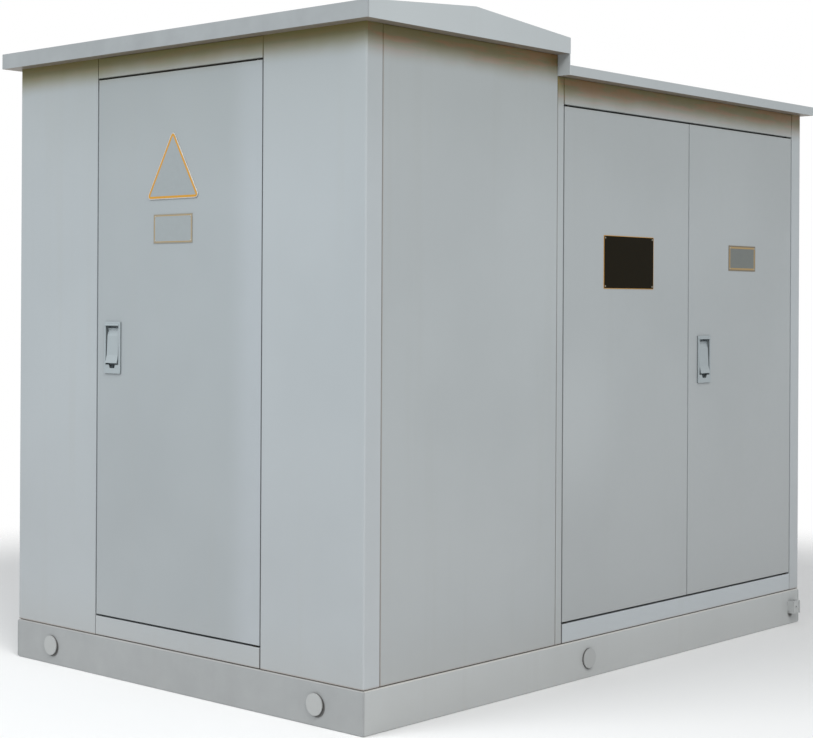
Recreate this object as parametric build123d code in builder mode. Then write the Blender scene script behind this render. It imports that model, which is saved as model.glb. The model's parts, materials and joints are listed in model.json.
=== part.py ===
"""Compact substation: a folded sheet steel housing on a welded channel base.

Origin: middle of the base, on the ground. X runs along the long side, the tall housing
at the low X end. The front, with the low housing's doors, faces the low Y side. Z is up.
"""

import os

from build123d import *

os.makedirs("parts", exist_ok=True)

# Overall sizes
length = 2650.0
width = 1770.0
tall_length = 968.0
base_height = 140.0
roof_drop = 73.0

# Folded panels
sheet = 2.0
panel_depth = 40.0
return_lip = 18.0
bend_radius = 2.5
corner_radius = 7.0
panel_seam = 3.0
opening_seam = 2.0
corner_return = 73.0

# Channel base, its seal and floor
channel_wall = 6.0
channel_flange = 70.0
channel_edge_radius = 4.0
beam_flange = 50.0
seal_height = 3.0
seal_width = 25.0
seal_setback = 6.0
floor_sheet = 3.0
floor_edge = 45.0

# Round covers over the lifting holes
lifting_hole_radius = 27.0
cap_radius = 35.0
cap_thickness = 8.5
cap_play = 0.5
end_cap_offset = 680.0
side_cap_at = -162.0

# Earth terminal at the right end of the front channel
terminal_width = 49.0
terminal_height = 51.0
terminal_reach = 30.0
terminal_plate = 5.0
terminal_setback = 4.0
terminal_hole_radius = 5.5
terminal_edge = 35.0
terminal_bottom = 47.0

# Doors, and the lintels above them
door_gap = 6.5
side_gap = 5.5
sill_top = 209.75
hv_door_width = 843.5
hv_lintel_height = 71.75
lv_left_width = 790.5
lv_door_top = 2015.75
lv_lintel_height = 94.75
jamb_width = 33.25

# Stop frames behind the doors
frame_sheet = 2.0
frame_clear = 2.0
frame_foot = 18.0
frame_stop = 20.0
frame_depth = 19.0

# Pivot pins at the corners of each door
pin_radius = 5.0
pin_play = 0.1
pin_from_edge = 25.0
pin_from_face = 8.0
pin_rise = 10.0
collar_radius = 7.0
collar_play = 0.3

# Lift lever lock
lock_width = 88.0
lock_height = 182.0
lock_plate = 6.0
lock_corner = 3.0
lock_edge = 1.0
recess_width = 72.0
recess_top = 77.0
recess_bottom = -60.0
pan_wall = 2.0
pan_depth = 16.0
pan_play = 0.5
notch_half_top = 18.0
notch_half_bottom = 13.0
notch_drop = 12.0
roll_radius = 2.6
lever_side_gap = 5.0
lever_sheet = 2.5
lever_pivot_up = 66.0
lever_pivot_in = 8.0
lever_pin_radius = 2.5
lever_pin_play = 0.05
lever_barrel_radius = 4.5
lever_shoulder = (0.0, 42.0)
lever_bend = (3.0, -27.0)
lever_tip = (10.0, -54.0)
lever_bend_radius = 8.0
hv_lock_from_edge = 88.0
hv_lock_up = 1164.0
lv_lock_from_edge = 103.5
lv_lock_up = 1115.0

# Roofs
roof_sheet = 2.0
eave_overhang = 50.0
step_overhang = 5.0
right_overhang = 20.0
tall_fascia = 55.0
tall_rise = 42.0
low_fascia = 34.0
low_rise = 22.0
flashing_sheet = 3.0

# Header beam across the housing at the step
header_sheet = 3.0
header_depth = 40.0
header_drop = 130.0
header_ledge = 40.0

# Places worked out from the sizes
left_x = -length / 2
right_x = length / 2
step_x = left_x + tall_length
front_y = -width / 2
wall_foot = base_height + seal_height
door_foot = sill_top + door_gap
lv_opening_top = lv_door_top + door_gap
low_wall_top = lv_opening_top + lv_lintel_height
tall_wall_top = low_wall_top + roof_drop
hv_opening_top = tall_wall_top - hv_lintel_height
hv_door_top = hv_opening_top - door_gap
front_wall = Plane(origin=(0, front_y, 0), x_dir=(1, 0, 0), z_dir=(0, -1, 0))
back_wall = Plane(origin=(0, -front_y, 0), x_dir=(-1, 0, 0), z_dir=(0, 1, 0))
left_wall = Plane(origin=(left_x, 0, 0), x_dir=(0, -1, 0), z_dir=(-1, 0, 0))
right_wall = Plane(origin=(right_x, 0, 0), x_dir=(0, 1, 0), z_dir=(1, 0, 0))

corner_reach = corner_return - panel_seam / 2
hv_opening_half = hv_door_width / 2 + side_gap
lv_opening_low = step_x + panel_seam / 2 + jamb_width
lv_opening_high = right_x - corner_reach
lv_left_low = lv_opening_low + side_gap
lv_left_high = lv_left_low + lv_left_width
lv_right_low = lv_left_high + side_gap
lv_right_high = lv_opening_high - side_gap
side_panel_low = left_x + corner_return + panel_seam / 2
side_panel_high = step_x - panel_seam / 2


def keep(piece, name):
    """Label a finished piece and write its file."""
    piece.label = name
    export_step(piece, f"parts/{name}.step")


def middle(span):
    return (span[0] + span[1]) / 2


def size_of(span):
    return span[1] - span[0]


def mirrored(span):
    """The same stretch of wall, measured along the opposite side."""
    return (-span[1], -span[0])


def rectangle_between(across, up):
    """A rectangle in the current sketch, between two pairs of coordinates."""
    with Locations((middle(across), middle(up))):
        Rectangle(size_of(across), size_of(up))


def inset(span, amount):
    return (span[0] + amount, span[1] - amount)


def along(wall):
    """Section plane across a wall: x outwards, y up."""
    return Plane(origin=wall.origin, x_dir=wall.z_dir, z_dir=-wall.x_dir)


def ground(wall):
    """Plan at ground level: x along the wall, y inwards."""
    return Plane(origin=wall.origin, x_dir=wall.x_dir, z_dir=(0, 0, 1))


def folded_tray(wall, across, up, lip=return_lip):
    """Panel with all four edges folded back and a return lip round its open back."""
    with BuildPart() as tray:
        with BuildSketch(wall):
            rectangle_between(across, up)
        extrude(amount=-panel_depth)
        outer_face = tray.faces().sort_by(Axis(wall.origin, wall.z_dir))[-1]
        fillet(outer_face.edges(), radius=bend_radius)
        with BuildSketch(wall.offset(-sheet)):
            rectangle_between(inset(across, sheet), inset(up, sheet))
        extrude(amount=2 * sheet - panel_depth, mode=Mode.SUBTRACT)
        with BuildSketch(wall.offset(sheet - panel_depth)):
            rectangle_between(inset(across, lip), inset(up, lip))
        extrude(amount=-sheet, mode=Mode.SUBTRACT)
    return tray.part


def corner_plan(wall, side, level, inward=0):
    """L-shaped plan of a corner panel, drawn `inward` of its outer faces.

    Its x runs along the end wall; `side` is -1 or 1 for the corner that it turns."""
    corner = width / 2 - inward
    leg = hv_opening_half + inward
    inner = width / 2 - panel_depth + inward
    back = panel_depth - inward
    reach = corner_reach - inward
    with BuildSketch(ground(wall).offset(level)) as plan:
        with BuildLine():
            Polyline(
                (side * corner, inward),
                (side * corner, reach),
                (side * inner, reach),
                (side * inner, back),
                (side * leg, back),
                (side * leg, inward),
                close=True,
            )
        make_face()
        turned = plan.vertices().sort_by_distance((side * corner, inward))[0]
        fillet(turned, radius=corner_radius - inward)
    return plan.sketch


def corner_panel(wall, side, wall_top):
    """Panel that covers one part of an end wall and wraps round the corner beside it."""
    edges = sorted((side * hv_opening_half, side * (width / 2 - panel_depth)))
    with BuildPart() as panel:
        extrude(corner_plan(wall, side, wall_foot), amount=wall_top - wall_foot)
        extrude(
            corner_plan(wall, side, wall_foot + sheet, sheet),
            amount=wall_top - wall_foot - 2 * sheet,
            mode=Mode.SUBTRACT,
        )
        with BuildSketch(wall.offset(sheet - panel_depth)):
            rectangle_between(
                inset(edges, return_lip), inset((wall_foot, wall_top), return_lip)
            )
        extrude(amount=-sheet, mode=Mode.SUBTRACT)
    return panel.part


def base_rail(wall, run, holes):
    """Channel along one side of the base, mitred at both ends, with its lifting holes."""
    with BuildPart() as rail:
        with BuildSketch(along(wall)) as section:
            with BuildLine():
                Polyline(
                    (0, 0),
                    (-channel_flange, 0),
                    (-channel_flange, channel_wall),
                    (-channel_wall, channel_wall),
                    (-channel_wall, base_height - channel_wall),
                    (-channel_flange, base_height - channel_wall),
                    (-channel_flange, base_height),
                    (0, base_height),
                    close=True,
                )
            make_face()
            fillet(section.vertices().group_by(Axis.X)[-1], radius=channel_edge_radius)
        extrude(amount=run / 2, both=True)
        with BuildSketch(ground(wall)):
            with BuildLine():
                Polyline(
                    (-run / 2, 0),
                    (run / 2, 0),
                    (run / 2 - channel_flange, channel_flange),
                    (channel_flange - run / 2, channel_flange),
                    close=True,
                )
            make_face()
        extrude(amount=base_height, mode=Mode.INTERSECT)
        with BuildSketch(wall):
            with Locations(*holes):
                Circle(lifting_hole_radius)
        extrude(amount=-channel_wall, mode=Mode.SUBTRACT)
    return rail.part


def hole_caps(wall, holes):
    """Round covers, each with a spigot in its lifting hole."""
    with BuildPart() as caps:
        with BuildSketch(wall):
            with Locations(*holes):
                Circle(cap_radius)
        extrude(amount=cap_thickness)
        with BuildSketch(wall):
            with Locations(*holes):
                Circle(lifting_hole_radius - cap_play)
        extrude(amount=-channel_wall)
    return caps.part


def stop_frame(wall, across, up):
    """Z-section frame behind an opening: foot on the panel lips, web and stop flange."""
    rings = (
        (frame_clear + frame_foot, frame_clear, 0, frame_sheet),
        (frame_clear + frame_sheet, frame_clear, 0, frame_depth),
        (frame_clear + frame_sheet, -frame_stop, frame_depth - frame_sheet, frame_depth),
    )
    with BuildPart() as frame:
        for outside, inside, start, end in rings:
            with BuildSketch(wall.offset(-panel_depth - start)):
                rectangle_between(inset(across, -outside), inset(up, -outside))
                with Locations((middle(across), middle(up))):
                    Rectangle(
                        size_of(across) + 2 * inside,
                        size_of(up) + 2 * inside,
                        mode=Mode.SUBTRACT,
                    )
            extrude(amount=start - end)
    return frame.part


def pin_place(wall, edge, turn):
    """Plan position of a door's pivot, from its hinge edge towards its middle."""
    return wall.from_local_coords((edge + turn * pin_from_edge, 0, -pin_from_face))


def hinge_pins(wall, edge, turn, door_top):
    """Bottom and top pivot studs; the bottom one has the collar that carries the door."""
    place = pin_place(wall, edge, turn)
    with BuildPart() as pins:
        for seat, direction in ((sill_top, 1), (door_top + door_gap, -1)):
            with BuildSketch(Plane.XY.offset(seat)):
                with Locations((place.X, place.Y)):
                    Circle(pin_radius)
            extrude(amount=direction * (door_gap + sheet + pin_rise))
        with BuildSketch(Plane.XY.offset(sill_top)):
            with Locations((place.X, place.Y)):
                Circle(collar_radius)
        extrude(amount=door_gap - collar_play)
    return pins.part


def door_leaf(wall, across, door_top, edge, turn, lock=None):
    """Folded tray with a pivot hole at each end of its hinge edge and a lock cut-out."""
    place = pin_place(wall, edge, turn)
    with BuildPart() as leaf:
        add(folded_tray(wall, across, (door_foot, door_top)))
        for level in (door_foot, door_top - sheet):
            with BuildSketch(Plane.XY.offset(level)):
                with Locations((place.X, place.Y)):
                    Circle(pin_radius + pin_play)
            extrude(amount=sheet, mode=Mode.SUBTRACT)
        if lock:
            reach = recess_width / 2 + pan_wall + pan_play
            with BuildSketch(wall):
                rectangle_between(
                    (lock[0] - reach, lock[0] + reach),
                    (
                        lock[1] + recess_bottom - notch_drop - pan_wall - pan_play,
                        lock[1] + recess_top + pan_wall + pan_play,
                    ),
                )
            extrude(amount=-sheet, mode=Mode.SUBTRACT)
    return leaf.part


def lock_case(wall, lock):
    """Raised lock plate: a pan behind it, a roll above its mouth, a notch and the pin."""
    side = (lock[0] - recess_width / 2, lock[0] + recess_width / 2)
    rise = (lock[1] + recess_bottom, lock[1] + recess_top)
    notch_foot = rise[0] - notch_drop
    section = along(wall)
    pin_across = recess_width / 2 + pan_wall
    with BuildPart() as case:
        with BuildSketch(wall):
            with Locations(lock):
                RectangleRounded(lock_width, lock_height, lock_corner)
        extrude(amount=lock_plate)
        rim = case.faces().sort_by(Axis(wall.origin, wall.z_dir))[-1].edges()
        chamfer(rim, length=lock_edge)
        with BuildSketch(wall):
            rectangle_between(inset(side, -pan_wall), inset((notch_foot, rise[1]), -pan_wall))
        extrude(amount=-pan_depth - pan_wall)
        with BuildSketch(wall.offset(lock_plate)):
            rectangle_between(side, rise)
            with BuildLine():
                Polyline(
                    (lock[0] - notch_half_top, rise[0]),
                    (lock[0] + notch_half_top, rise[0]),
                    (lock[0] + notch_half_bottom, notch_foot),
                    (lock[0] - notch_half_bottom, notch_foot),
                    close=True,
                )
            make_face()
        extrude(amount=-pan_depth - lock_plate, mode=Mode.SUBTRACT)
        with BuildSketch(section.offset(-lock[0])):
            with Locations((lock_plate, rise[1] + roll_radius)):
                Circle(roll_radius)
        extrude(amount=recess_width / 2, both=True)
        with BuildSketch(section.offset(-lock[0])):
            with Locations((-lever_pivot_in, lock[1] + lever_pivot_up)):
                Circle(lever_pin_radius)
        extrude(amount=pin_across, both=True)
    return case.part


def lock_lever(wall, lock):
    """Folded lever on a barrel at its top, its lower end flared into a pull lip."""
    section = along(wall)
    pivot = (-lever_pivot_in, lock[1] + lever_pivot_up)
    shoulder = (lever_shoulder[0], lock[1] + lever_shoulder[1])
    bend = (lever_bend[0], lock[1] + lever_bend[1])
    tip = (lever_tip[0], lock[1] + lever_tip[1])
    with BuildPart() as lever:
        with BuildSketch(section.offset(-lock[0])):
            with BuildLine() as fold:
                FilletPolyline(pivot, shoulder, bend, tip, radius=lever_bend_radius)
            trace(fold.edges(), line_width=lever_sheet)
            with Locations(pivot):
                Circle(lever_barrel_radius)
                Circle(lever_pin_radius + lever_pin_play, mode=Mode.SUBTRACT)
        extrude(amount=recess_width / 2 - lever_side_gap, both=True)
    return lever.part


def gable_roof(plane, span, foot, fascia, rise, run, window):
    """Hollow roof: a low gable drawn on `plane`, run both ways, open below inside its lip."""
    ridge = middle(span)
    with BuildPart() as roof:
        for shrink, mode in ((0, Mode.ADD), (roof_sheet, Mode.SUBTRACT)):
            low, high = inset(span, shrink)
            with BuildSketch(plane.offset(middle(run))):
                with BuildLine():
                    Polyline(
                        (low, foot + shrink),
                        (high, foot + shrink),
                        (high, foot + fascia - shrink),
                        (ridge, foot + fascia + rise - shrink),
                        (low, foot + fascia - shrink),
                        close=True,
                    )
                make_face()
            extrude(amount=size_of(run) / 2 - shrink, both=True, mode=mode)
        with BuildSketch(Plane.XY.offset(foot)):
            rectangle_between(*window)
        extrude(amount=roof_sheet, mode=Mode.SUBTRACT)
    return roof.part


# Channel base
end_holes = [(-end_cap_offset, base_height / 2), (end_cap_offset, base_height / 2)]
front_holes = [(side_cap_at, base_height / 2)]
back_holes = [(-side_cap_at, base_height / 2)]
keep(base_rail(front_wall, length, front_holes), "base_rail_front")
keep(base_rail(back_wall, length, back_holes), "base_rail_back")
keep(base_rail(left_wall, width, end_holes), "base_rail_left")
keep(base_rail(right_wall, width, end_holes), "base_rail_right")

# Beams across the base, coped into the side channels
beam_places = [left_x + tall_length / 2, step_x, 0, right_x / 3, 2 * right_x / 3]
with BuildPart() as base_cross_beams:
    with BuildSketch(Plane.XZ):
        for place in beam_places:
            edges = (place - beam_flange / 2, place + beam_flange / 2)
            rectangle_between(edges, (0, channel_wall))
            rectangle_between(edges, (base_height - channel_wall, base_height))
            rectangle_between((edges[0], edges[0] + channel_wall), (0, base_height))
    extrude(amount=width / 2 - channel_flange, both=True)
    with BuildSketch(Plane.XZ):
        for place in beam_places:
            web_at = place - beam_flange / 2
            rectangle_between(
                (web_at, web_at + channel_wall), (channel_wall, base_height - channel_wall)
            )
    extrude(amount=width / 2 - channel_wall, both=True)
keep(base_cross_beams.part, "base_cross_beams")

# Round covers on the channels
with BuildPart() as base_caps:
    add(hole_caps(front_wall, front_holes))
    add(hole_caps(back_wall, back_holes))
    add(hole_caps(left_wall, end_holes))
    add(hole_caps(right_wall, end_holes))
keep(base_caps.part, "base_caps")

# Earth terminal
terminal_across = (right_x - terminal_edge - terminal_width, right_x - terminal_edge)
terminal_up = (terminal_bottom, terminal_bottom + terminal_height)
with BuildPart() as earth_terminal:
    with BuildSketch(front_wall):
        rectangle_between(terminal_across, terminal_up)
    extrude(amount=terminal_reach)
    legs_apart = inset(terminal_across, terminal_plate)
    plate_front = terminal_reach - terminal_setback
    with BuildSketch(front_wall):
        rectangle_between(legs_apart, terminal_up)
    extrude(amount=plate_front - terminal_plate, mode=Mode.SUBTRACT)
    with BuildSketch(front_wall.offset(plate_front)):
        rectangle_between(legs_apart, terminal_up)
    extrude(amount=terminal_setback, mode=Mode.SUBTRACT)
    with BuildSketch(front_wall):
        with Locations((middle(terminal_across), middle(terminal_up))):
            Circle(terminal_hole_radius)
    extrude(amount=terminal_reach, mode=Mode.SUBTRACT)
keep(earth_terminal.part, "earth_terminal")

# Seal between the base and the walls
with BuildPart() as base_gasket:
    with BuildSketch(Plane.XY.offset(base_height)):
        Rectangle(length - 2 * seal_setback, width - 2 * seal_setback)
        Rectangle(
            length - 2 * seal_setback - 2 * seal_width,
            width - 2 * seal_setback - 2 * seal_width,
            mode=Mode.SUBTRACT,
        )
    extrude(amount=seal_height)
keep(base_gasket.part, "base_gasket")

# Floor plates
floor_spans = {
    "floor_hv": (left_x + floor_edge, step_x - opening_seam / 2),
    "floor_lv": (step_x + opening_seam / 2, right_x - floor_edge),
}
for name, across in floor_spans.items():
    with BuildPart() as floor:
        with BuildSketch(Plane.XY.offset(base_height)):
            rectangle_between(across, (front_y + floor_edge, -front_y - floor_edge))
        extrude(amount=floor_sheet)
    keep(floor.part, name)

# End walls
keep(corner_panel(left_wall, 1, tall_wall_top), "left_end_panel_front")
keep(corner_panel(left_wall, -1, tall_wall_top), "left_end_panel_back")
keep(corner_panel(right_wall, -1, low_wall_top), "right_end_panel_front")
keep(corner_panel(right_wall, 1, low_wall_top), "right_end_panel_back")
end_span = inset((-hv_opening_half, hv_opening_half), opening_seam)
keep(folded_tray(left_wall, end_span, (wall_foot, sill_top)), "hv_door_sill")
keep(folded_tray(left_wall, end_span, (hv_opening_top, tall_wall_top)), "hv_door_lintel")
keep(folded_tray(right_wall, end_span, (wall_foot, low_wall_top)), "right_end_panel_middle")

# Long walls
side_span = (side_panel_low, side_panel_high)
jamb_span = (step_x + panel_seam / 2, lv_opening_low)
lv_span = (lv_opening_low, lv_opening_high)
lv_between = inset(lv_span, opening_seam)
jamb_lip = jamb_width / 4
long_walls = (("front", front_wall, lambda span: span), ("back", back_wall, mirrored))
for side, wall, place in long_walls:
    keep(folded_tray(wall, place(side_span), (wall_foot, tall_wall_top)), f"{side}_side_panel")
    jamb = folded_tray(wall, place(jamb_span), (wall_foot, low_wall_top), jamb_lip)
    keep(jamb, f"{side}_jamb_post")
    keep(folded_tray(wall, place(lv_between), (wall_foot, sill_top)), f"{side}_door_sill")
    lintel = folded_tray(wall, place(lv_between), (lv_opening_top, low_wall_top))
    keep(lintel, f"{side}_door_lintel")
    keep(stop_frame(wall, place(lv_span), (sill_top, lv_opening_top)), f"{side}_door_frame")
hv_frame = stop_frame(
    left_wall, (-hv_opening_half, hv_opening_half), (sill_top, hv_opening_top)
)
keep(hv_frame, "hv_door_frame")

# High voltage door, hinged beside the near corner
hv_span = (-hv_door_width / 2, hv_door_width / 2)
hv_lock = (hv_span[0] + hv_lock_from_edge, hv_lock_up)
keep(door_leaf(left_wall, hv_span, hv_door_top, hv_span[1], -1, hv_lock), "hv_door_leaf")
keep(lock_case(left_wall, hv_lock), "hv_lock_case")
keep(lock_lever(left_wall, hv_lock), "hv_lock_lever")

# Low voltage doors, hinged at the jamb and at the right corner
left_leaf = (lv_left_low, lv_left_high)
right_leaf = (lv_right_low, lv_right_high)
lv_lock = (right_leaf[0] + lv_lock_from_edge, lv_lock_up)
keep(door_leaf(front_wall, left_leaf, lv_door_top, left_leaf[0], 1), "lv_left_leaf")
keep(
    door_leaf(front_wall, right_leaf, lv_door_top, right_leaf[1], -1, lv_lock),
    "lv_right_leaf",
)
keep(lock_case(front_wall, lv_lock), "lv_lock_case")
keep(lock_lever(front_wall, lv_lock), "lv_lock_lever")

# Back leaves, the same pair seen from the other side
back_left_leaf = mirrored(left_leaf)
back_right_leaf = mirrored(right_leaf)
back_lock = (-lv_lock[0], lv_lock_up)
back_leaf = door_leaf(back_wall, back_left_leaf, lv_door_top, back_left_leaf[1], -1)
keep(back_leaf, "back_leaf_near_step")
keep(
    door_leaf(back_wall, back_right_leaf, lv_door_top, back_right_leaf[0], 1, back_lock),
    "back_leaf_far",
)
keep(lock_case(back_wall, back_lock), "back_lock_case")
keep(lock_lever(back_wall, back_lock), "back_lock_lever")

# Pivot pins of every door
with BuildPart() as door_hinge_pins:
    add(hinge_pins(left_wall, hv_span[1], -1, hv_door_top))
    add(hinge_pins(front_wall, left_leaf[0], 1, lv_door_top))
    add(hinge_pins(front_wall, right_leaf[1], -1, lv_door_top))
    add(hinge_pins(back_wall, back_left_leaf[1], -1, lv_door_top))
    add(hinge_pins(back_wall, back_right_leaf[0], 1, lv_door_top))
keep(door_hinge_pins.part, "door_hinge_pins")

# Header beam under the step between the roofs
header_top = tall_wall_top
header_bottom = header_top - header_drop
with BuildPart() as roof_header:
    with BuildSketch(Plane.XZ):
        rectangle_between((step_x - header_sheet, step_x), (header_bottom, header_top))
        flanges = (step_x - header_depth, step_x)
        rectangle_between(flanges, (header_top - header_sheet, header_top))
        rectangle_between(flanges, (header_bottom, header_bottom + header_sheet))
        rectangle_between(
            (step_x - header_sheet, step_x + header_ledge),
            (low_wall_top - header_sheet, low_wall_top),
        )
    extrude(amount=width / 2 - panel_depth, both=True)
keep(roof_header.part, "roof_header")

# Roofs and the flashing between them
roof_half_width = width / 2 + eave_overhang
window_half = width / 2 - floor_edge
tall_roof = gable_roof(
    Plane.XZ,
    (left_x - eave_overhang, step_x + step_overhang),
    tall_wall_top,
    tall_fascia,
    tall_rise,
    (-roof_half_width, roof_half_width),
    ((left_x + floor_edge, step_x - floor_edge), (-window_half, window_half)),
)
keep(tall_roof, "tall_roof")
low_roof_run = (step_x + flashing_sheet, right_x + right_overhang)
low_roof = gable_roof(
    Plane.YZ,
    (-roof_half_width, roof_half_width),
    low_wall_top,
    low_fascia,
    low_rise,
    low_roof_run,
    ((step_x + floor_edge, right_x - floor_edge), (-window_half, window_half)),
)
keep(low_roof, "low_roof")
with BuildPart() as step_flashing:
    with BuildSketch(Plane.XZ):
        rectangle_between((step_x, step_x + flashing_sheet), (low_wall_top, tall_wall_top))
    extrude(amount=roof_half_width, both=True)
keep(step_flashing.part, "step_flashing")
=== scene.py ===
"""Looks of the compact substation: paint, signs, seals, welds, light and camera."""

import json
import math

import bpy
from mathutils import Matrix, Vector


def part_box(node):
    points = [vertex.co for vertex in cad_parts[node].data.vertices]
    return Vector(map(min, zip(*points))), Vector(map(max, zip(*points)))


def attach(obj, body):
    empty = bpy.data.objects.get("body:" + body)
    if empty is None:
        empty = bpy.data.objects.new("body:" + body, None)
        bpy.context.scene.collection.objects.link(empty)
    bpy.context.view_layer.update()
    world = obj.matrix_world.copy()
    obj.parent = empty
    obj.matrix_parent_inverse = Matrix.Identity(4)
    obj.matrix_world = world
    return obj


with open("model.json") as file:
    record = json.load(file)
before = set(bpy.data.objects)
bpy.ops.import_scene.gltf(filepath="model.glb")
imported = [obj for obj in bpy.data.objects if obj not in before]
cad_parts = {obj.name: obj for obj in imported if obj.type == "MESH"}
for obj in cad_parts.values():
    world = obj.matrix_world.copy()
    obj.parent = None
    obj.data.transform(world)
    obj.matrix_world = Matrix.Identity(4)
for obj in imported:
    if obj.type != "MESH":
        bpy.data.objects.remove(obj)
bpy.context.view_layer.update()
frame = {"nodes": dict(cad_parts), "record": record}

bl_info = {
    "name": "Compact substation looks",
    "version": (1, 0, 0),
    "blender": (4, 5, 0),
    "location": "3D View > Sidebar > Substation",
    "description": "Signs, seals, welds, paint and studio of a sheet steel substation",
    "category": "Object",
}

MM = 0.001
NODES = frame["nodes"]

# Faces and edges, as the frame gives them
LEFT_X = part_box("left_end_panel_front")[0].x
FRONT_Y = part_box("front_side_panel")[0].y
BACK_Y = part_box("back_side_panel")[1].y
SEAM_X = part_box("front_side_panel")[0].x
STEP_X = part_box("step_flashing")[0].x
TALL_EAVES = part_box("tall_roof")[0].z
LOW_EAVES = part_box("low_roof")[0].z
BASE_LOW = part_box("base_rail_front")[0]
BASE_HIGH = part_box("base_rail_back")[1]
BASE_TOP = BASE_HIGH.z
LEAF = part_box("lv_left_leaf")[0]
END_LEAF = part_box("hv_door_leaf")[0]
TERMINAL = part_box("earth_terminal")[0]

# Round covers of the base: where they sit along the ends and the sides
END_COVER_Y = 680 * MM
SIDE_COVER_X = -162 * MM
COVER_RISE = 8.3 * MM

# Middles of the plates on their walls, across and up; the triangle's is its foot's
HV_PLATE_AT = (-15 * MM, 1576 * MM)
LV_PLATE_AT = (863 * MM, 1510 * MM)
DATA_PLATE_AT = (77 * MM, 1478 * MM)
TRIANGLE_AT = (-15 * MM, 1677 * MM)

# Sheets, edges and fasteners of the plates
TRIANGLE_SHEET = 3 * MM
TRIANGLE_CORNER = 24 * MM
TRIANGLE_RIM = 3 * MM
TRIANGLE_BEVEL = 0.6 * MM
DATA_SHEET = 1.5 * MM
DATA_RIM = 1.8 * MM
PLATE_BEVEL = 0.3 * MM
HEAD_RADIUS = 3.2 * MM
HEAD_INSET = 9 * MM
RIVET_RISE = 1.4 * MM
SCREW_RISE = 1.5 * MM

# Door seals, and the stop flange that each lies on, measured in from its frame's box
SEAL_WIDTH = 10 * MM
SEAL_SHEET = 3 * MM
SEAL_ROUND = 1.2 * MM
FLANGE_INSET = 34 * MM
FLANGE_DEPTH = 17 * MM

# Weld beads of the base's corners
WELD_RADIUS = 3 * MM
WELD_PITCH = 4 * MM
WELD_FOOT = 8 * MM
WELD_BARE = 12 * MM

# Marks on the paint, of rust and of painted shade and highlights: axis, place, reach, strength
# and colour of each mark
RUST = (0.20, 0.13, 0.075, 1.0)
# Painted shade that darkens whole end faces and fascias
SIDE_SHADE = (0.20, 0.215, 0.225, 1.0)
SHADE = (0.035, 0.03, 0.026, 1.0)
# Painted highlight, pale as a lit edge
EDGE_HIGHLIGHT = (0.66, 0.66, 0.63, 1.0)
FOOT_MARK = ("Z", BASE_TOP, 9 * MM, 0.6, RUST)
# Painted shade in the gaps beside the door leaves
GAP_MARKS = (
    ("X", LEAF.x - 3 * MM, 4.5 * MM, 0.8, SHADE),
    ("Y", END_LEAF.y - 3 * MM, 4.5 * MM, 0.9, SHADE),
)
# Painted shade in the gaps beside and below each leaf
LEAF_MARKS = GAP_MARKS + (("Z", LEAF.z - 3 * MM, 5 * MM, 0.85, SHADE),)
END_LEAF_MARKS = GAP_MARKS + (("Z", END_LEAF.z - 3 * MM, 5 * MM, 0.85, SHADE),)
SEAM_MARKS = (("X", SEAM_X, 5 * MM, 0.4, RUST), ("X", STEP_X, 4 * MM, 0.25, RUST))
WALL_MARKS = (FOOT_MARK,) + SEAM_MARKS + GAP_MARKS
# Painted highlight along the base's top edge, and painted shade on the base's left end
BASE_MARKS = (
    ("Z", BASE_TOP, 6 * MM, 0.7, EDGE_HIGHLIGHT),
    ("X", LEFT_X, 9 * MM, 0.5, SIDE_SHADE),
)
# Painted shade on the tall roof's end fascia and on the low roof's front fascia
TALL_ROOF_MARKS = (("X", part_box("tall_roof")[0].x, 9 * MM, 0.62, SIDE_SHADE),)
LOW_ROOF_MARKS = (("Y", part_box("low_roof")[0].y, 9 * MM, 0.16, SIDE_SHADE),)
# Painted shade on the rims of the base's round covers
COVER_MARKS = (
    ("X", BASE_LOW.x, COVER_RISE, 0.9, SHADE),
    ("X", BASE_HIGH.x, COVER_RISE, 0.9, SHADE),
    ("Y", BASE_LOW.y, COVER_RISE, 0.9, SHADE),
    ("Y", BASE_HIGH.y, COVER_RISE, 0.9, SHADE),
)
# Painted shade on the lock cases' sides and recess walls, near each wall's face
CASE_MARKS = (
    ("X", LEFT_X, 5.6 * MM, 0.7, SHADE),
    ("Y", FRONT_Y, 5.6 * MM, 0.7, SHADE),
    ("Y", BACK_Y, 5.6 * MM, 0.7, SHADE),
)


def wall_matrix(origin, across, out):
    """A wall's own axes: x across it, y up it, z out of it."""
    across, out = Vector(across), Vector(out)
    up = out.cross(across)
    matrix = Matrix((across, up, out)).transposed().to_4x4()
    matrix.translation = Vector(origin)
    return matrix


LEFT_WALL = wall_matrix((LEFT_X, 0, 0), (0, -1, 0), (-1, 0, 0))
FRONT_WALL = wall_matrix((0, FRONT_Y, 0), (1, 0, 0), (0, -1, 0))
BACK_WALL = wall_matrix((0, BACK_Y, 0), (-1, 0, 0), (0, 1, 0))


# Settings that a user would change


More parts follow.
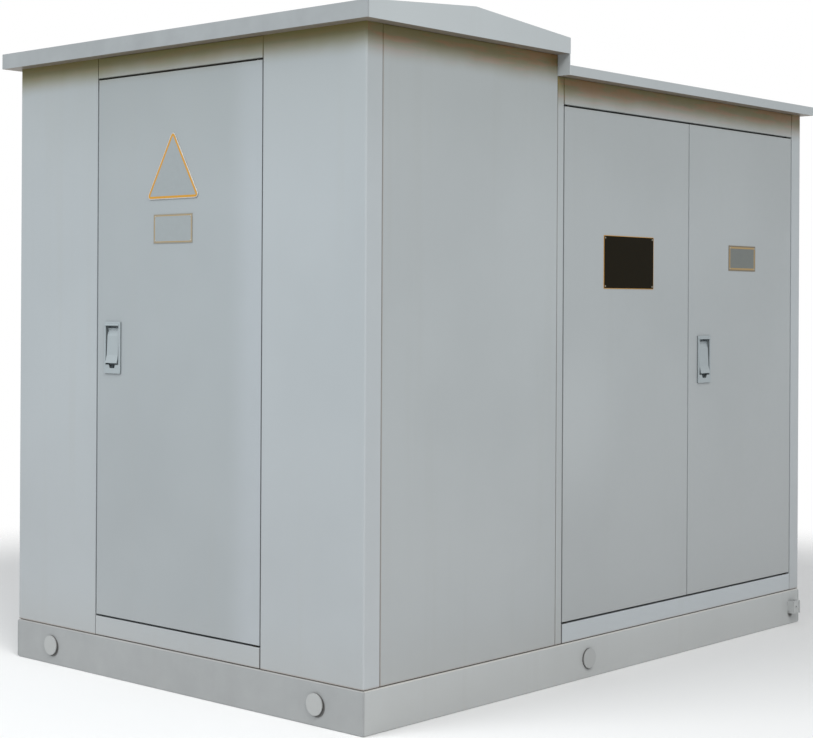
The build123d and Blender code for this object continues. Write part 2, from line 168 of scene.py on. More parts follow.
class SignSettings(bpy.types.PropertyGroup):
    """Sizes of the plates on the doors."""

    plate_width: bpy.props.FloatProperty(
        name="Plate width",
        description="Width of a small name plate",
        default=201 * MM,
        unit="LENGTH",
    )
    plate_height: bpy.props.FloatProperty(
        name="Plate height",
        description="Height of a small name plate",
        default=100 * MM,
        unit="LENGTH",
    )
    plate_sheet: bpy.props.FloatProperty(
        name="Plate thickness",
        description="Thickness of the small plates",
        default=1.5 * MM,
        unit="LENGTH",
    )
    data_width: bpy.props.FloatProperty(
        name="Data plate width",
        description="Width of the dark data plate",
        default=316 * MM,
        unit="LENGTH",
    )
    data_height: bpy.props.FloatProperty(
        name="Data plate height",
        description="Height of the dark data plate",
        default=192 * MM,
        unit="LENGTH",
    )
    triangle_side: bpy.props.FloatProperty(
        name="Triangle side",
        description="Width of the triangular plate's foot",
        default=276 * MM,
        unit="LENGTH",
    )
    triangle_height: bpy.props.FloatProperty(
        name="Triangle height",
        description="Height of the triangular plate",
        default=237 * MM,
        unit="LENGTH",
    )
    border_width: bpy.props.FloatProperty(
        name="Border width",
        description="Width of a plate's painted border",
        default=7.5 * MM,
        unit="LENGTH",
    )


class PaintSettings(bpy.types.PropertyGroup):
    """Colours of the finishes."""

    housing: bpy.props.FloatVectorProperty(
        name="Housing",
        description="Powder coat of the walls, doors and roofs",
        subtype="COLOR",
        size=3,
        default=(0.422, 0.456, 0.468),
    )
    lock: bpy.props.FloatVectorProperty(
        name="Lock",
        description="Enamel of the locks and levers",
        subtype="COLOR",
        size=3,
        default=(0.34, 0.388, 0.408),
    )
    border: bpy.props.FloatVectorProperty(
        name="Sign border",
        description="Painted border of the light plates",
        subtype="COLOR",
        size=3,
        default=(0.55, 0.27, 0.022),
    )
    data_plate: bpy.props.FloatVectorProperty(
        name="Data plate",
        description="Ground of the dark data plate",
        subtype="COLOR",
        size=3,
        default=(0.0085, 0.0065, 0.0025),
    )


class StageSettings(bpy.types.PropertyGroup):
    """Camera and light."""

    camera_place: bpy.props.FloatVectorProperty(
        name="Camera place",
        description="Where the camera stands",
        subtype="TRANSLATION",
        unit="LENGTH",
        size=3,
        default=(-5.185, -4.521, 1.334),
    )
    camera_heading: bpy.props.FloatProperty(
        name="Camera heading",
        description="Direction of view, from +X towards +Y",
        default=math.radians(41.935),
        unit="ROTATION",
    )
    camera_roll: bpy.props.FloatProperty(
        name="Camera roll",
        description="How far the camera leans over",
        default=math.radians(0.31),
        unit="ROTATION",
    )
    camera_lens: bpy.props.FloatProperty(
        name="Focal length",
        description="Focal length on a 36 mm sensor, in millimetres",
        default=76.9,
    )
    camera_drop: bpy.props.FloatProperty(
        name="Camera shift",
        description="Vertical shift, as a share of the picture's width",
        default=-0.0837,
    )
    sky_strength: bpy.props.FloatProperty(
        name="Sky strength",
        description="Strength of the even light from all round",
        default=0.48,
    )


# Shader maths


class Value:
    """A socket that takes arithmetic: each operator adds a Math node."""

    def __init__(self, shade, socket):
        self.shade = shade
        self.socket = socket

    def math(self, operation, other, flipped=False):
        """Add a Math node for this socket and another socket or a number."""
        first, second = (other, self) if flipped else (self, other)
        settings = {"operation": operation}
        return self.shade.node("ShaderNodeMath", settings, {0: first, 1: second})

    def __add__(self, other):
        return self.math("ADD", other)

    def __radd__(self, other):
        return self.math("ADD", other, True)

    def __sub__(self, other):
        return self.math("SUBTRACT", other)

    def __rsub__(self, other):
        return self.math("SUBTRACT", other, True)

    def __mul__(self, other):
        return self.math("MULTIPLY", other)

    def __rmul__(self, other):
        return self.math("MULTIPLY", other, True)


class Nodes:
    """A node tree of a material or of the world."""

    def __init__(self, tree):
        self.tree = tree

    def node(self, kind, settings=None, inputs=None, output=0):
        """Add a node: settings first, then its sockets' values or links."""
        node = self.tree.nodes.new(kind)
        for key, value in (settings or {}).items():
            setattr(node, key, value)
        for key, value in (inputs or {}).items():
            if isinstance(value, Value):
                self.tree.links.new(value.socket, node.inputs[key])
            else:
                node.inputs[key].default_value = value
        return Value(self, node.outputs[output])


class Shade(Nodes):
    """A procedural material on object coordinates."""

    def __init__(self, name, **constants):
        self.material = bpy.data.materials.new(name)
        self.material.use_nodes = True
        super().__init__(self.material.node_tree)
        self.shader = self.tree.nodes["Principled BSDF"]
        for socket, value in constants.items():
            self.shader.inputs[socket.replace("_", " ")].default_value = value
        self.place = self.node("ShaderNodeTexCoord", output="Object")

    def stretched(self, scale):
        """Object coordinates, scaled along each axis."""
        return self.node("ShaderNodeMapping", inputs={"Vector": self.place, "Scale": scale})

    def noise(self, scale, detail=2.0, roughness=0.5, place=None):
        """Noise on object coordinates, or on the given place."""
        return self.node(
            "ShaderNodeTexNoise",
            inputs={
                "Vector": place or self.place,
                "Scale": scale,
                "Detail": detail,
                "Roughness": roughness,
            },
        )

    def height(self):
        """Height above the ground, in metres."""
        return self.node("ShaderNodeSeparateXYZ", inputs={0: self.place}, output="Z")

    def band(self, value, low, high, start=0.0, end=1.0):
        """A smooth step of value between low and high."""
        return self.node(
            "ShaderNodeMapRange",
            {"interpolation_type": "SMOOTHSTEP"},
            {"Value": value, 1: low, 2: high, 3: start, 4: end},
        )

    def mix(self, factor, first, second, blend="MIX"):
        """Mix two colours."""
        settings = {"data_type": "RGBA", "blend_type": blend}
        return self.node(
            "ShaderNodeMix", settings, {"Factor": factor, 6: first, 7: second}, output=2
        )

    def feed(self, socket, value):
        """Link a value to one of the shader's sockets."""
        self.tree.links.new(value.socket, self.shader.inputs[socket])

    def bump(self, height):
        """Relief of the given height, in metres."""
        inputs = {"Height": height, "Distance": 1.0, "Strength": 1.0}
        self.feed("Normal", self.node("ShaderNodeBump", inputs=inputs))


def tinted(colour, *shares):
    """A colour with its channels scaled; a single share serves all three."""
    shares = shares * 3 if len(shares) == 1 else shares
    return tuple(channel * share for channel, share in zip(colour, shares))


def rgb(colour, scale=1.0):
    """A colour with its alpha, as a socket takes it."""
    return tinted(colour, scale) + (1.0,)


def grime_and_painted_light(shade, tone, marks):
    """Tint the paint near the given marks, fully within a fifth of each one's reach: rust, and
    painted shade and highlights.
    """
    for axis, place, reach, strength, colour in marks:
        coordinate = shade.node("ShaderNodeSeparateXYZ", inputs={0: shade.place}, output=axis)
        away = shade.node("ShaderNodeMath", {"operation": "ABSOLUTE"}, {0: coordinate - place})
        patchy = shade.noise(9.0, 3.0, 0.6)
        mask = shade.band(away, 0.2 * reach, reach, strength, 0.0) * (0.75 + patchy * 0.5)
        tone = shade.mix(mask, tone, colour)
    return tone


def eave_shade_and_stain(shade, tone):
    """Painted shade below each roof's eaves, tinted brown and streaked as by rain stains, with a
    long grey-green tail.
    """
    along = shade.node("ShaderNodeSeparateXYZ", inputs={0: shade.place}, output="X")
    low_part = shade.node("ShaderNodeMath", {"operation": "GREATER_THAN"}, {0: along, 1: STEP_X})
    end_face = {0: along, 1: LEFT_X + 5 * MM}
    on_end = shade.node("ShaderNodeMath", {"operation": "LESS_THAN"}, end_face)
    depth = TALL_EAVES - low_part * (TALL_EAVES - LOW_EAVES) - shade.height()
    cloud = shade.noise(3.0, 3.0, 0.55)
    # Painted shade close under the eaves, a little deeper on the end walls
    stain = shade.band(depth + cloud * 0.04 + on_end * 0.012, 0.04, 0.14, 1.0, 0.0)
    # Painted shade that fades far down the wall
    tail = shade.band(depth, 0.05, 0.6, 1.0, 0.0) * (0.18 - low_part * 0.08)
    streak = shade.band(shade.noise(1.0, 3.0, 0.6, shade.stretched((5.0, 5.0, 45.0))), 0.45, 0.6)
    brown = shade.mix(streak, (0.155, 0.13, 0.042, 1.0), (0.21, 0.118, 0.038, 1.0))
    brown = shade.mix(on_end * 0.7, brown, (0.178, 0.165, 0.046, 1.0))
    tone = shade.mix(tail, tone, (0.16, 0.175, 0.15, 1.0))
    return shade.mix(stain, tone, brown)


def spots(shade, tone, places):
    """Tint the paint round points: place, core, reach, strength and colour of each."""
    for place, core, reach, strength, colour in places:
        away = shade.node(
            "ShaderNodeVectorMath", {"operation": "DISTANCE"}, {0: shade.place, 1: place}, "Value"
        )
        tone = shade.mix(shade.band(away, core, reach, strength, 0.0), tone, colour)
    return tone


def base_shadows():
    """Painted shadows on the base's rails: beside and below each cover, and round the earth
    terminal.
    """
    shift = 5 * MM
    level = BASE_TOP / 2 - shift
    places = [
        *((BASE_LOW.x, y - shift, level) for y in (-END_COVER_Y, END_COVER_Y)),
        *((BASE_HIGH.x, y + shift, level) for y in (-END_COVER_Y, END_COVER_Y)),
        (SIDE_COVER_X + shift, BASE_LOW.y, level),
        (SIDE_COVER_X - shift, BASE_HIGH.y, level),
    ]
    # Painted shadow under the earth terminal
    under = (TERMINAL.x + 19 * MM, BASE_LOW.y, TERMINAL.z + 1 * MM)
    shadow_spots = [(place, 34 * MM, 38 * MM, 0.7, SHADE) for place in places]
    return shadow_spots + [(under, 9 * MM, 26 * MM, 0.95, SHADE)]


def powder_coat(
    name, colour, gloss=0.42, dust=1.0, marks=(), eaves=True, soffit=False, shadow_spots=(), bloom_and_sheen=()
):
    """Sprayed powder coat: orange peel, slow waves in the sheet, faint runs and road dust;
    painted shade and sheen where the arguments ask.
    """
    shade = Shade(name, Roughness=gloss, Specular_IOR_Level=0.42, Coat_Roughness=0.3)
    cloud = shade.noise(1.3, 3.0, 0.55)
    runs = shade.noise(1.0, 2.0, 0.5, shade.stretched((16.0, 16.0, 0.7)))
    speck = shade.noise(55.0, 3.0, 0.6)
    tone = shade.mix(shade.band(cloud, 0.35, 0.65), rgb(colour, 0.975), rgb(colour, 1.025))
    tone = shade.mix(
        shade.band(runs, 0.52, 0.75, 0.0, 0.09 * dust), tone, (0.36, 0.365, 0.34, 1.0)
    )
    splash = shade.band(shade.height() + speck * 0.12, 0.07, 0.42, 0.3 * dust, 0.0)
    tone = shade.mix(splash, tone, (0.36, 0.35, 0.32, 1.0))
    # Painted sheen goes on first, under the marks
    tone = grime_and_painted_light(shade, spots(shade, tone, bloom_and_sheen), marks)
    # Painted shadows round the given points
    tone = spots(shade, tone, shadow_spots)
    # Painted shade under the eaves, with a brown stain
    if eaves:
        tone = eave_shade_and_stain(shade, tone)
    # Painted shade: darker towards the bottom of each piece
    fade = shade.band(shade.height(), 0.1, 1.4, 1.0, 0.0)
    tone = shade.mix(fade, tone, (0.955, 0.932, 0.925, 1.0), "MULTIPLY")
    # Painted shade on faces that look down, such as the roofs' soffits
    if soffit:
        facing = shade.node("ShaderNodeNewGeometry", output="Normal")
        upward = shade.node("ShaderNodeSeparateXYZ", inputs={0: facing}, output="Z")
        tone = shade.mix(shade.band(upward, -0.9, -0.4, 0.8, 0.0), tone, (0.17, 0.12, 0.07, 1.0))
    shade.feed("Base Color", tone)
    shade.feed("Roughness", gloss + shade.band(speck, 0.3, 0.7, -0.04, 0.06) + splash * 0.2)
    peel = shade.noise(420.0, 2.0, 0.5)
    waves = shade.noise(2.1, 1.0, 0.4, shade.stretched((1.0, 1.0, 0.55)))
    shade.bump(peel * 0.00012 + waves * 0.004)
    return shade.material


def enamel(name, colour, marks=()):
    """Smooth thick enamel, worn a little where hands touch it."""
    shade = Shade(name, Specular_IOR_Level=0.5)
    speck = shade.noise(90.0, 3.0, 0.6)
    wear = shade.noise(38.0, 4.0, 0.65)
    rubbed = shade.band(wear, 0.58, 0.7, 0.0, 0.35)
    tone = shade.mix(rubbed, rgb(colour), rgb(colour, 1.22))
    shade.feed("Base Color", grime_and_painted_light(shade, tone, marks))
    shade.feed("Roughness", 0.3 + speck * 0.14)
    shade.bump(shade.noise(600.0) * 0.00008)
    return shade.material


def brushed_metal(name, colour, rough, grain=(900.0, 900.0, 14.0)):
    """Rolled plate with a fine grain along one direction."""
    shade = Shade(name, Metallic=1.0)
    lines = shade.noise(1.0, 2.0, 0.6, shade.stretched(grain))
    stain = shade.noise(24.0, 3.0, 0.6)
    dull = shade.band(stain, 0.45, 0.7)
    shade.feed("Base Color", shade.mix(dull, rgb(colour), rgb(colour, 0.86)))
    shade.feed("Roughness", rough + lines * 0.16 + dull * 0.08)
    shade.bump(lines * 0.00005)
    return shade.material


def plain_paint(name, colour, rough, mottle=0.1, shine=0.4):
    """Smooth paint on a plate, a little mottled."""
    shade = Shade(name, Specular_IOR_Level=shine)
    cloud = shade.noise(60.0, 3.0, 0.6)
    shade.feed("Base Color", shade.mix(cloud, rgb(colour, 1 - mottle), rgb(colour, 1 + mottle)))
    shade.feed("Roughness", rough + cloud * 0.12)
    shade.bump(shade.noise(500.0) * 0.00006)
    return shade.material


def soft_rubber(name):
    """Black sponge rubber with a powdery skin."""
    shade = Shade(name, Specular_IOR_Level=0.25)
    pores = shade.noise(900.0, 3.0, 0.7)
    bloom_and_sheen = shade.noise(14.0, 3.0, 0.6)
    shade.feed("Base Color", shade.mix(bloom_and_sheen, (0.012, 0.012, 0.013, 1), (0.03, 0.03, 0.031, 1)))
    shade.feed("Roughness", 0.72 + pores * 0.2)
    shade.bump(pores * 0.0002)
    return shade.material


# Modelling helpers


def fresh():
    """Leave edit mode and select nothing."""
    if bpy.context.object and bpy.context.object.mode != "OBJECT":
        bpy.ops.object.mode_set(mode="OBJECT")
    bpy.ops.object.select_all(action="DESELECT")


def pick_faces(piece, test):
    """In edit mode, select exactly the faces that pass a test."""
    bpy.ops.mesh.select_mode(type="FACE")
    bpy.ops.mesh.select_all(action="DESELECT")
    bpy.ops.object.mode_set(mode="OBJECT")
    for face in piece.data.polygons:
        face.select = test(face)
    if not any(face.select for face in piece.data.polygons):
        raise RuntimeError(f"{piece.name} has no such face")
    bpy.ops.object.mode_set(mode="EDIT")


def put(piece, matrix):
    """Place a finished piece by its mesh, so that its object stays at the origin."""
    fresh()
    piece.matrix_world = matrix
    piece.select_set(True)
    bpy.context.view_layer.objects.active = piece
    bpy.ops.object.transform_apply(location=True, rotation=True, scale=True)
    fresh()


def seat(piece, name, body):
    """Name a finished piece and hand it to its body, or stop if it came out empty."""
    if not piece.data.polygons:
        raise RuntimeError(f"{name} has no faces")
    piece.name = name
    piece.data.name = name
    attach(piece, body)


def joined(pieces):
    """Join pieces into one mesh object."""
    fresh()
    for piece in pieces:
        piece.select_set(True)
    bpy.context.view_layer.objects.active = pieces[0]
    bpy.ops.object.join()
    fresh()
    return pieces[0]


def copied(piece, shift):
    """A copy of a piece with its own mesh, set off from it."""
    twin = piece.copy()
    twin.data = piece.data.copy()
    twin.data.transform(Matrix.Translation(shift))
    bpy.context.collection.objects.link(twin)
    return twin


def bevelled(piece, width, segments, smooth=False):
    """Round the sharp edges of a finished form."""
    fresh()
    piece.select_set(True)
    bpy.context.view_layer.objects.active = piece
    bevel = piece.modifiers.new("Bevel", "BEVEL")
    bevel.width = width
    bevel.segments = segments
    bevel.limit_method = "ANGLE"
    bevel.angle_limit = math.radians(35)
    bpy.ops.object.modifier_apply(modifier=bevel.name)
    if smooth:
        bpy.ops.object.shade_smooth_by_angle(angle=math.radians(40))
    fresh()


def rectangle(width, height):
    """Add a flat face round the origin, and stay in edit mode."""
    fresh()
    bpy.ops.mesh.primitive_plane_add(size=1)
    bpy.ops.object.mode_set(mode="EDIT")
    bpy.ops.mesh.select_all(action="SELECT")
    bpy.ops.transform.resize(value=(width, height, 1), center_override=(0, 0, 0))


def triangle(width, height):
    """Add a flat face that stands on the origin, and stay in edit mode."""
    unit_width, unit_height = math.sqrt(3), 1.5
    fresh()
    bpy.ops.mesh.primitive_circle_add(vertices=3, radius=1, fill_type="NGON")
    bpy.ops.object.mode_set(mode="EDIT")
    bpy.ops.mesh.select_all(action="SELECT")
    shares = (width / unit_width, height / unit_height, 1)
    bpy.ops.transform.resize(value=shares, center_override=(0, 0, 0))
    bpy.ops.transform.translate(value=(0, height / 3, 0))


def thickened(sheet, corner=0):
    """Round the corners of the flat face in edit mode, and make it a plate."""
    if corner:
        bpy.ops.mesh.bevel(offset=corner, segments=5, affect="VERTICES")
    bpy.ops.mesh.select_all(action="SELECT")
    bpy.ops.mesh.normals_make_consistent(inside=False)
    bpy.ops.mesh.extrude_region_move(TRANSFORM_OT_translate={"value": (0, 0, sheet)})
    bpy.ops.mesh.select_all(action="SELECT")
    bpy.ops.mesh.normals_make_consistent(inside=False)
    bpy.ops.object.mode_set(mode="OBJECT")
    return bpy.context.object


def painted(plate, paints, borders):
    """Inset the front face by each border in turn, and paint what lies inside it."""
    for paint in paints:
        plate.data.materials.append(bpy.data.materials[paint])
    for slot, width in enumerate(borders, 1):
        fronts = [face for face in plate.data.polygons if face.normal.z > 0.9]
        inner = max(fronts, key=lambda face: face.area).index
        bpy.ops.object.mode_set(mode="EDIT")
        pick_faces(plate, lambda face: face.index == inner)
        bpy.ops.mesh.inset(thickness=width, depth=0)
        plate.active_material_index = slot
        bpy.ops.object.material_slot_assign()
        bpy.ops.object.mode_set(mode="OBJECT")


def domed_head(place, rise):
    """A low domed head that stands on the given place."""
    fresh()
    bpy.ops.mesh.primitive_uv_sphere_add(
        segments=16, ring_count=8, radius=HEAD_RADIUS, location=place
    )
    head = bpy.context.object
    bpy.ops.object.mode_set(mode="EDIT")
    bpy.ops.mesh.select_all(action="SELECT")
    bpy.ops.transform.resize(value=(1, 1, rise / HEAD_RADIUS), center_override=place)
    bpy.ops.mesh.bisect(plane_co=place, plane_no=(0, 0, 1), clear_inner=True, use_fill=True)
    bpy.ops.object.mode_set(mode="OBJECT")
    bpy.ops.object.transform_apply(location=True, rotation=True, scale=True)
    bpy.ops.object.shade_smooth_by_angle(angle=math.radians(50))
    return head


def corner_heads(width, height, sheet, rise, paint):
    """Four heads on the front of a plate, one near each corner."""
    x, y = width / 2 - HEAD_INSET, height / 2 - HEAD_INSET
    head = domed_head((-x, -y, sheet), rise)
    head.data.materials.append(bpy.data.materials[paint])
    shifts = ((2 * x, 0, 0), (2 * x, 2 * y, 0), (0, 2 * y, 0))
    return [head] + [copied(head, shift) for shift in shifts]


def on_wall(wall, place):
    """Matrix of a place on a wall's outer face."""
    return wall @ Matrix.Translation((*place, 0))


# Pieces, one operator each


class SUBSTATION_OT_name_plates(bpy.types.Operator):
    """Small plain plates on the doors, with a painted border and a rivet in each corner"""

    bl_idname = "substation.name_plates"
    bl_label = "Name plates"

    def execute(self, context):
        signs = context.scene.substation_signs
        wide, tall, sheet = signs.plate_width, signs.plate_height, signs.plate_sheet
        light = ("plate_edge", "plate_line", "plate_ground")
        dull = ("plate_dull_edge", "plate_line", "plate_dull")
        for name, body, wall, place, paints, borders in (
            ("hv_name_plate", "hv_door", LEFT_WALL, HV_PLATE_AT, light, (4.5 * MM, 2.5 * MM)),
            ("lv_name_plate", "lv_right_door", FRONT_WALL, LV_PLATE_AT, dull, (5.5 * MM, 6 * MM)),
        ):
            rectangle(wide, tall)
            plate = thickened(sheet)
            painted(plate, paints, borders)
            bevelled(plate, PLATE_BEVEL, 1)
            heads = corner_heads(wide, tall, sheet, RIVET_RISE, "rivet_grey")
            whole = joined([plate] + heads)
            put(whole, on_wall(wall, place))
            seat(whole, name, body)
        return {"FINISHED"}


class SUBSTATION_OT_triangle_plate(bpy.types.Operator):
    """Triangular plain plate on the high voltage door, with a painted border"""

    bl_idname = "substation.triangle_plate"
    bl_label = "Triangular plate"

    def execute(self, context):
        signs = context.scene.substation_signs
        triangle(signs.triangle_side, signs.triangle_height)
        plate = thickened(TRIANGLE_SHEET, TRIANGLE_CORNER)
        paints = ("plate_rim", "plate_border", "plate_ground")
        painted(plate, paints, (TRIANGLE_RIM, signs.border_width))
        bevelled(plate, TRIANGLE_BEVEL, 2)
        put(plate, on_wall(LEFT_WALL, TRIANGLE_AT))
        seat(plate, "hv_triangle_plate", "hv_door")
        return {"FINISHED"}


class SUBSTATION_OT_data_plate(bpy.types.Operator):
    """Dark plain plate on the left low voltage door, with a screw in each corner"""

    bl_idname = "substation.data_plate"
    bl_label = "Data plate"

    def execute(self, context):
        signs = context.scene.substation_signs
        wide, tall = signs.data_width, signs.data_height
        rectangle(wide, tall)
        plate = thickened(DATA_SHEET)
        painted(plate, ("plate_border", "data_ground"), (DATA_RIM,))
        bevelled(plate, PLATE_BEVEL, 1)
        heads = corner_heads(wide, tall, DATA_SHEET, SCREW_RISE, "plate_edge")
        whole = joined([plate] + heads)
        put(whole, on_wall(FRONT_WALL, DATA_PLATE_AT))
        seat(whole, "lv_data_plate", "lv_left_door")
        return {"FINISHED"}


class SUBSTATION_OT_door_seals(bpy.types.Operator):
    """Sponge rubber seals on the stop flanges behind the doors"""

    bl_idname = "substation.door_seals"
    bl_label = "Door seals"

    def execute(self, context):
        for frame_name, wall in (
            ("hv_door_frame", LEFT_WALL),
            ("front_door_frame", FRONT_WALL),
            ("back_door_frame", BACK_WALL),
        ):
            first, last = (wall.inverted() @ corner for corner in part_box(frame_name))
            middle = (first + last) / 2
            wide = abs(last.x - first.x) - 2 * FLANGE_INSET
            tall = abs(last.y - first.y) - 2 * FLANGE_INSET
            rectangle(wide + 2 * SEAL_WIDTH, tall + 2 * SEAL_WIDTH)
            bpy.ops.mesh.inset(thickness=SEAL_WIDTH, depth=0)
            bpy.ops.mesh.delete(type="FACE")
            seal = thickened(SEAL_SHEET)
            seal.data.materials.append(bpy.data.materials["seal_rubber"])
            bevelled(seal, SEAL_ROUND, 3, smooth=True)
            middle.z = max(first.z, last.z) - FLANGE_DEPTH
            put(seal, wall @ Matrix.Translation(middle))
            seat(seal, frame_name.replace("frame", "seal"), "housing")
        return {"FINISHED"}


class SUBSTATION_OT_corner_welds(bpy.types.Operator):
    """Rippled weld beads down the mitred corners of the base"""

    bl_idname = "substation.corner_welds"
    bl_label = "Corner welds"

    def execute(self, context):
        fresh()
        place = (BASE_LOW.x, BASE_LOW.y, WELD_FOOT)
        bpy.ops.mesh.primitive_uv_sphere_add(
            segments=12, ring_count=6, radius=WELD_RADIUS, location=place
        )
        bead = bpy.context.object
        bpy.ops.object.mode_set(mode="EDIT")
        bpy.ops.mesh.select_all(action="SELECT")
        bpy.ops.transform.resize(value=(0.9, 0.9, 1.1), center_override=place)
        bpy.ops.object.mode_set(mode="OBJECT")
        bpy.ops.object.transform_apply(location=True, rotation=True, scale=True)
        ripples = bead.modifiers.new("Ripples", "ARRAY")
        ripples.use_relative_offset = False
        ripples.use_constant_offset = True
        ripples.constant_offset_displace = (0, 0, WELD_PITCH)
        ripples.count = int((BASE_TOP - BASE_LOW.z - WELD_BARE) / WELD_PITCH)
        bpy.ops.object.modifier_apply(modifier=ripples.name)
        bpy.ops.object.shade_smooth()
        bead.data.materials.append(bpy.data.materials["base_coat"])
        long, deep = BASE_HIGH.x - BASE_LOW.x, BASE_HIGH.y - BASE_LOW.y
        shifts = ((0, deep, 0), (long, 0, 0), (long, deep, 0))
        beads = [bead] + [copied(bead, shift) for shift in shifts]
        seat(joined(beads), "base_corner_welds", "housing")
        return {"FINISHED"}


class SUBSTATION_OT_finishes(bpy.types.Operator):
    """Materials, and the finish of every modelled node"""

    bl_idname = "substation.finishes"
    bl_label = "Finishes"

    def execute(self, context):
        paint = context.scene.substation_paint
        housing, lock = tuple(paint.housing), tuple(paint.lock)
        by_slot = self.slot_finishes(housing, lock)
        self.plate_paints(paint)
        for part in frame["record"]["subparts"]:
            node, slot = NODES[part["node"]], part["material_slot"]
            if slot not in by_slot:
                raise RuntimeError(f"no finish for the slot {slot} of {node.name}")
            node.data.materials.clear()
            node.data.materials.append(by_slot[slot])
        for material, names in self.own_finishes(housing, lock):
            for name in names:
                NODES[name].data.materials[0] = material
        return {"FINISHED"}

    def slot_finishes(self, housing, lock):
        """The finish of each material slot."""
        # Painted sheen: a soft lighter patch near the left edge of the front doors
        sheen_place = (LEAF.x + 60 * MM, FRONT_Y, 0.92)
        bloom_and_sheen = ((sheen_place, 0.06, 0.42, 0.6, rgb(tinted(housing, 1.11))),)
        return {
            "housing_paint": powder_coat("housing_coat", housing, marks=WALL_MARKS),
            "door_paint": powder_coat(
                "door_coat", tinted(housing, 0.95), 0.38, 0.6, LEAF_MARKS, bloom_and_sheen=bloom_and_sheen
            ),
            "roof_paint": powder_coat(
                "roof_coat",
                tinted(housing, 1.17),
                0.45,
                0.5,
                TALL_ROOF_MARKS,
                eaves=False,
                soffit=True,
            ),
            "base_paint": powder_coat(
                "base_coat",
                tinted(housing, 1.24),
                0.5,
                marks=BASE_MARKS,
                eaves=False,
                shadow_spots=base_shadows(),
            ),
            "lock_paint": enamel("lock_enamel", lock),
            "pin_steel": brushed_metal("pin_zinc", (0.06, 0.055, 0.05), 0.55),
            "floor_steel": powder_coat("floor_coat", (0.27, 0.28, 0.28), 0.55, 0.6),
            "seal_rubber": soft_rubber("seal_rubber"),
        }

    def plate_paints(self, paint):
        """Metal and paints of the plates on the doors."""
        brushed_metal("plate_rim", (0.5, 0.5, 0.48), 0.45, (14.0, 14.0, 900.0))
        plain_paint("plate_edge", (0.27, 0.25, 0.2), 0.45)
        plain_paint("plate_dull_edge", (0.19, 0.155, 0.1), 0.45)
        plain_paint("rivet_grey", (0.38, 0.37, 0.33), 0.45)
        plain_paint("plate_line", (0.38, 0.255, 0.1), 0.4)
        plain_paint("plate_ground", (0.305, 0.34, 0.352), 0.4, 0.05)
        plain_paint("plate_dull", (0.15, 0.165, 0.155), 0.42)
        plain_paint("plate_border", tuple(paint.border), 0.34)
        plain_paint("data_ground", tuple(paint.data_plate), 0.6, 0.4, 0.06)

    def own_finishes(self, housing, lock):
        """Finishes of nodes that differ a little from the rest of their slot."""
        # Painted sheen: the high voltage door lighter and bluer towards its right edge
        door_edge_sheen = ("Y", END_LEAF.y, 170 * MM, 0.75, rgb(tinted(housing, 0.97, 0.99, 1.03)))
        # Painted highlights along the end walls' corner edges
        pale = rgb(tinted(housing, 1.135, 1.135, 1.15))
        corner_highlights = tuple(("Y", wall, 5 * MM, 0.8, pale) for wall in (FRONT_Y, BACK_Y))
        end_door = powder_coat(
            "end_door_coat",
            tinted(housing, 0.83, 0.85, 0.865),
            0.38,
            0.6,
            (door_edge_sheen,) + END_LEAF_MARKS,
        )
        end_wall = powder_coat(
            "end_wall_coat", tinted(housing, 0.95, 0.965, 0.985), marks=corner_highlights + WALL_MARKS
        )
        sills = powder_coat(
            "sill_coat",
            tinted(housing, 1.17, 1.2, 1.24),
            0.4,
            0.6,
            (FOOT_MARK,) + LEAF_MARKS,
            eaves=False,
        )
        low_roof = powder_coat(
            "low_roof_coat",
            tinted(housing, 1.17),
            0.45,
            0.5,
            LOW_ROOF_MARKS,
            eaves=False,
            soffit=True,
        )
        covers = powder_coat(
            "cap_coat", tinted(housing, 1.04), 0.5, marks=COVER_MARKS, eaves=False
        )
        end_nodes = [name for name in NODES if "_end_panel_" in name]
        return (
            (end_door, ["hv_door_leaf"]),
            (end_wall, end_nodes + ["hv_door_sill", "hv_door_lintel"]),
            (sills, ["front_door_sill", "back_door_sill"]),
            (low_roof, ["low_roof"]),
            (covers, ["base_caps"]),
            (
                enamel("lock_case_enamel", lock, CASE_MARKS),
                ["hv_lock_case", "lv_lock_case", "back_lock_case"],
            ),
        )


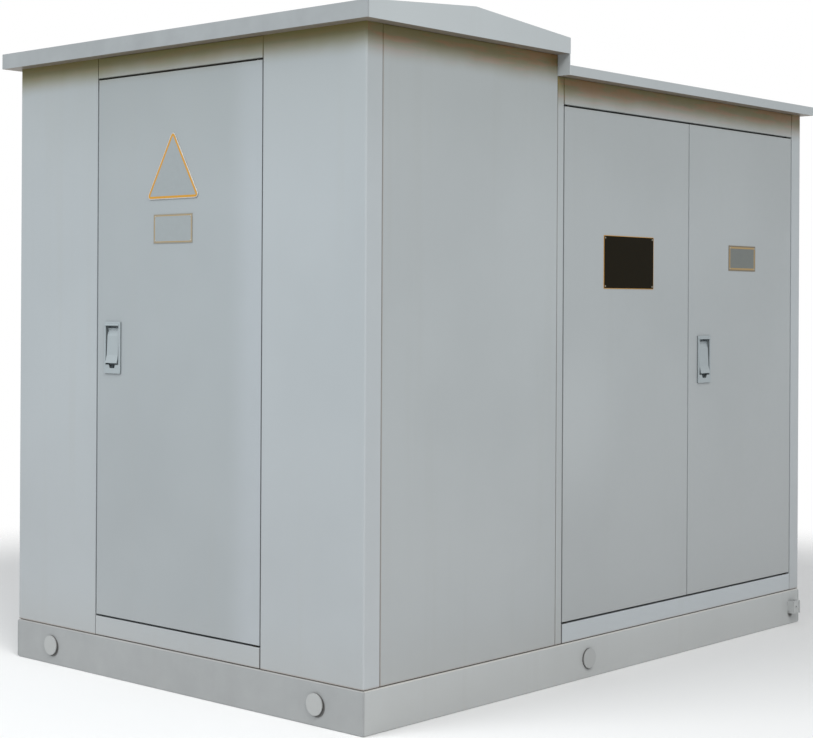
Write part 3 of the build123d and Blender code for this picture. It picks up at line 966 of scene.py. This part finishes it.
class SUBSTATION_OT_stage(bpy.types.Operator):
    """Pale floor, soft light, white surroundings and the camera"""

    bl_idname = "substation.stage"
    bl_label = "Stage"

    def execute(self, context):
        stage = context.scene.substation_stage
        self.floor()
        self.surroundings(context.scene, stage)
        self.lamps()
        self.camera(context.scene, stage)
        context.scene.view_settings.view_transform = "Standard"
        return {"FINISHED"}

    def floor(self):
        """Pale floor that fades into the white round it."""
        fresh()
        bpy.ops.mesh.primitive_plane_add(size=60, location=(0, 0, 0))
        floor = bpy.context.object
        floor.name = "studio_floor"
        shade = Shade("floor_pale", Roughness=0.9, Specular_IOR_Level=0.1)
        cloud = shade.noise(0.6, 2.0)
        shade.feed("Base Color", shade.mix(cloud, (0.84, 0.84, 0.84, 1), (0.88, 0.88, 0.88, 1)))
        away = shade.node(
            "ShaderNodeVectorMath", {"operation": "LENGTH"}, {0: shade.place}, output="Value"
        )
        shade.feed("Alpha", shade.band(away, 2.6, 4.2, 1.0, 0.0))
        floor.data.materials.append(shade.material)

    def surroundings(self, scene, stage):
        """Even light from all round, and white where the camera or a mirror looks."""
        world = bpy.data.worlds.new("studio_world")
        scene.world = world
        world.use_nodes = True
        tree = world.node_tree
        tree.nodes.remove(tree.nodes["Background"])
        sky = Nodes(tree)
        tone = {"Color": (0.97, 0.985, 1.0, 1.0), "Strength": stage.sky_strength}
        light = sky.node("ShaderNodeBackground", inputs=tone)
        white = sky.node("ShaderNodeBackground", inputs={"Color": (1, 1, 1, 1), "Strength": 1.0})
        seen = sky.node("ShaderNodeLightPath", output="Is Camera Ray")
        for ray in ("Is Glossy Ray", "Is Transmission Ray"):
            path = sky.node("ShaderNodeLightPath", output=ray)
            seen = seen.math("MAXIMUM", path)
        choice = sky.node("ShaderNodeMixShader", inputs={0: seen, 1: light, 2: white})
        tree.links.new(choice.socket, tree.nodes["World Output"].inputs["Surface"])

    def lamps(self):
        """Two large soft lamps, each high and to the left of the wall that it lights."""
        for name, place, size, power, colour in (
            ("end_key", (-7.2, 1.6, 7.4), 4.0, 405.0, (0.97, 0.99, 1.0)),
            ("front_key", (-4.4, -7.0, 8.6), 4.0, 580.0, (1.0, 1.0, 0.99)),
        ):
            bpy.ops.object.light_add(type="AREA", location=place)
            lamp = bpy.context.object
            lamp.name = name
            lamp.data.size = size
            lamp.data.energy = power
            lamp.data.color = colour
            aim = Vector((0, 0, 1.0)) - Vector(place)
            lamp.rotation_euler = aim.to_track_quat("-Z", "Y").to_euler()

    def camera(self, scene, stage):
        """Level camera with a little roll, shifted up or down instead of tilted."""
        heading = stage.camera_heading
        ahead = Vector((math.cos(heading), math.sin(heading), 0))
        right = ahead.cross(Vector((0, 0, 1)))
        lean = Matrix.Rotation(-stage.camera_roll, 3, ahead)
        right = lean @ right
        up = right.cross(ahead)
        turn = Matrix((right, up, -ahead)).transposed()
        bpy.ops.object.camera_add(location=stage.camera_place)
        camera = bpy.context.object
        camera.rotation_euler = turn.to_euler()
        camera.data.sensor_width = 36
        camera.data.sensor_fit = "HORIZONTAL"
        camera.data.lens = stage.camera_lens
        camera.data.shift_y = stage.camera_drop
        camera.data.clip_end = 200
        scene.camera = camera


class SUBSTATION_PT_panel(bpy.types.Panel):
    """Lists the pieces in the sidebar"""

    bl_label = "Compact substation"
    bl_idname = "SUBSTATION_PT_panel"
    bl_space_type = "VIEW_3D"
    bl_region_type = "UI"
    bl_category = "Substation"

    def draw(self, context):
        for operator in OPERATORS:
            self.layout.operator(operator.bl_idname)
        for group in ("substation_signs", "substation_paint", "substation_stage"):
            settings = getattr(context.scene, group)
            for key in settings.__annotations__:
                self.layout.prop(settings, key)


OPERATORS = (
    SUBSTATION_OT_finishes,
    SUBSTATION_OT_name_plates,
    SUBSTATION_OT_triangle_plate,
    SUBSTATION_OT_data_plate,
    SUBSTATION_OT_door_seals,
    SUBSTATION_OT_corner_welds,
    SUBSTATION_OT_stage,
)
GROUPS = {
    "substation_signs": SignSettings,
    "substation_paint": PaintSettings,
    "substation_stage": StageSettings,
}


def register():
    """Register the settings, the operators and the panel."""
    for group in GROUPS.values():
        bpy.utils.register_class(group)
    for name, group in GROUPS.items():
        setattr(bpy.types.Scene, name, bpy.props.PointerProperty(type=group))
    for operator in OPERATORS:
        bpy.utils.register_class(operator)
    bpy.utils.register_class(SUBSTATION_PT_panel)


def unregister():
    """Take back all that register added."""
    bpy.utils.unregister_class(SUBSTATION_PT_panel)
    for operator in reversed(OPERATORS):
        bpy.utils.unregister_class(operator)
    for name, group in GROUPS.items():
        delattr(bpy.types.Scene, name)
        bpy.utils.unregister_class(group)


def main():
    """Build everything in order."""
    register()
    for operator in OPERATORS:
        group, name = operator.bl_idname.split(".")
        getattr(getattr(bpy.ops, group), name)()


if __name__ == "__main__":
    main()
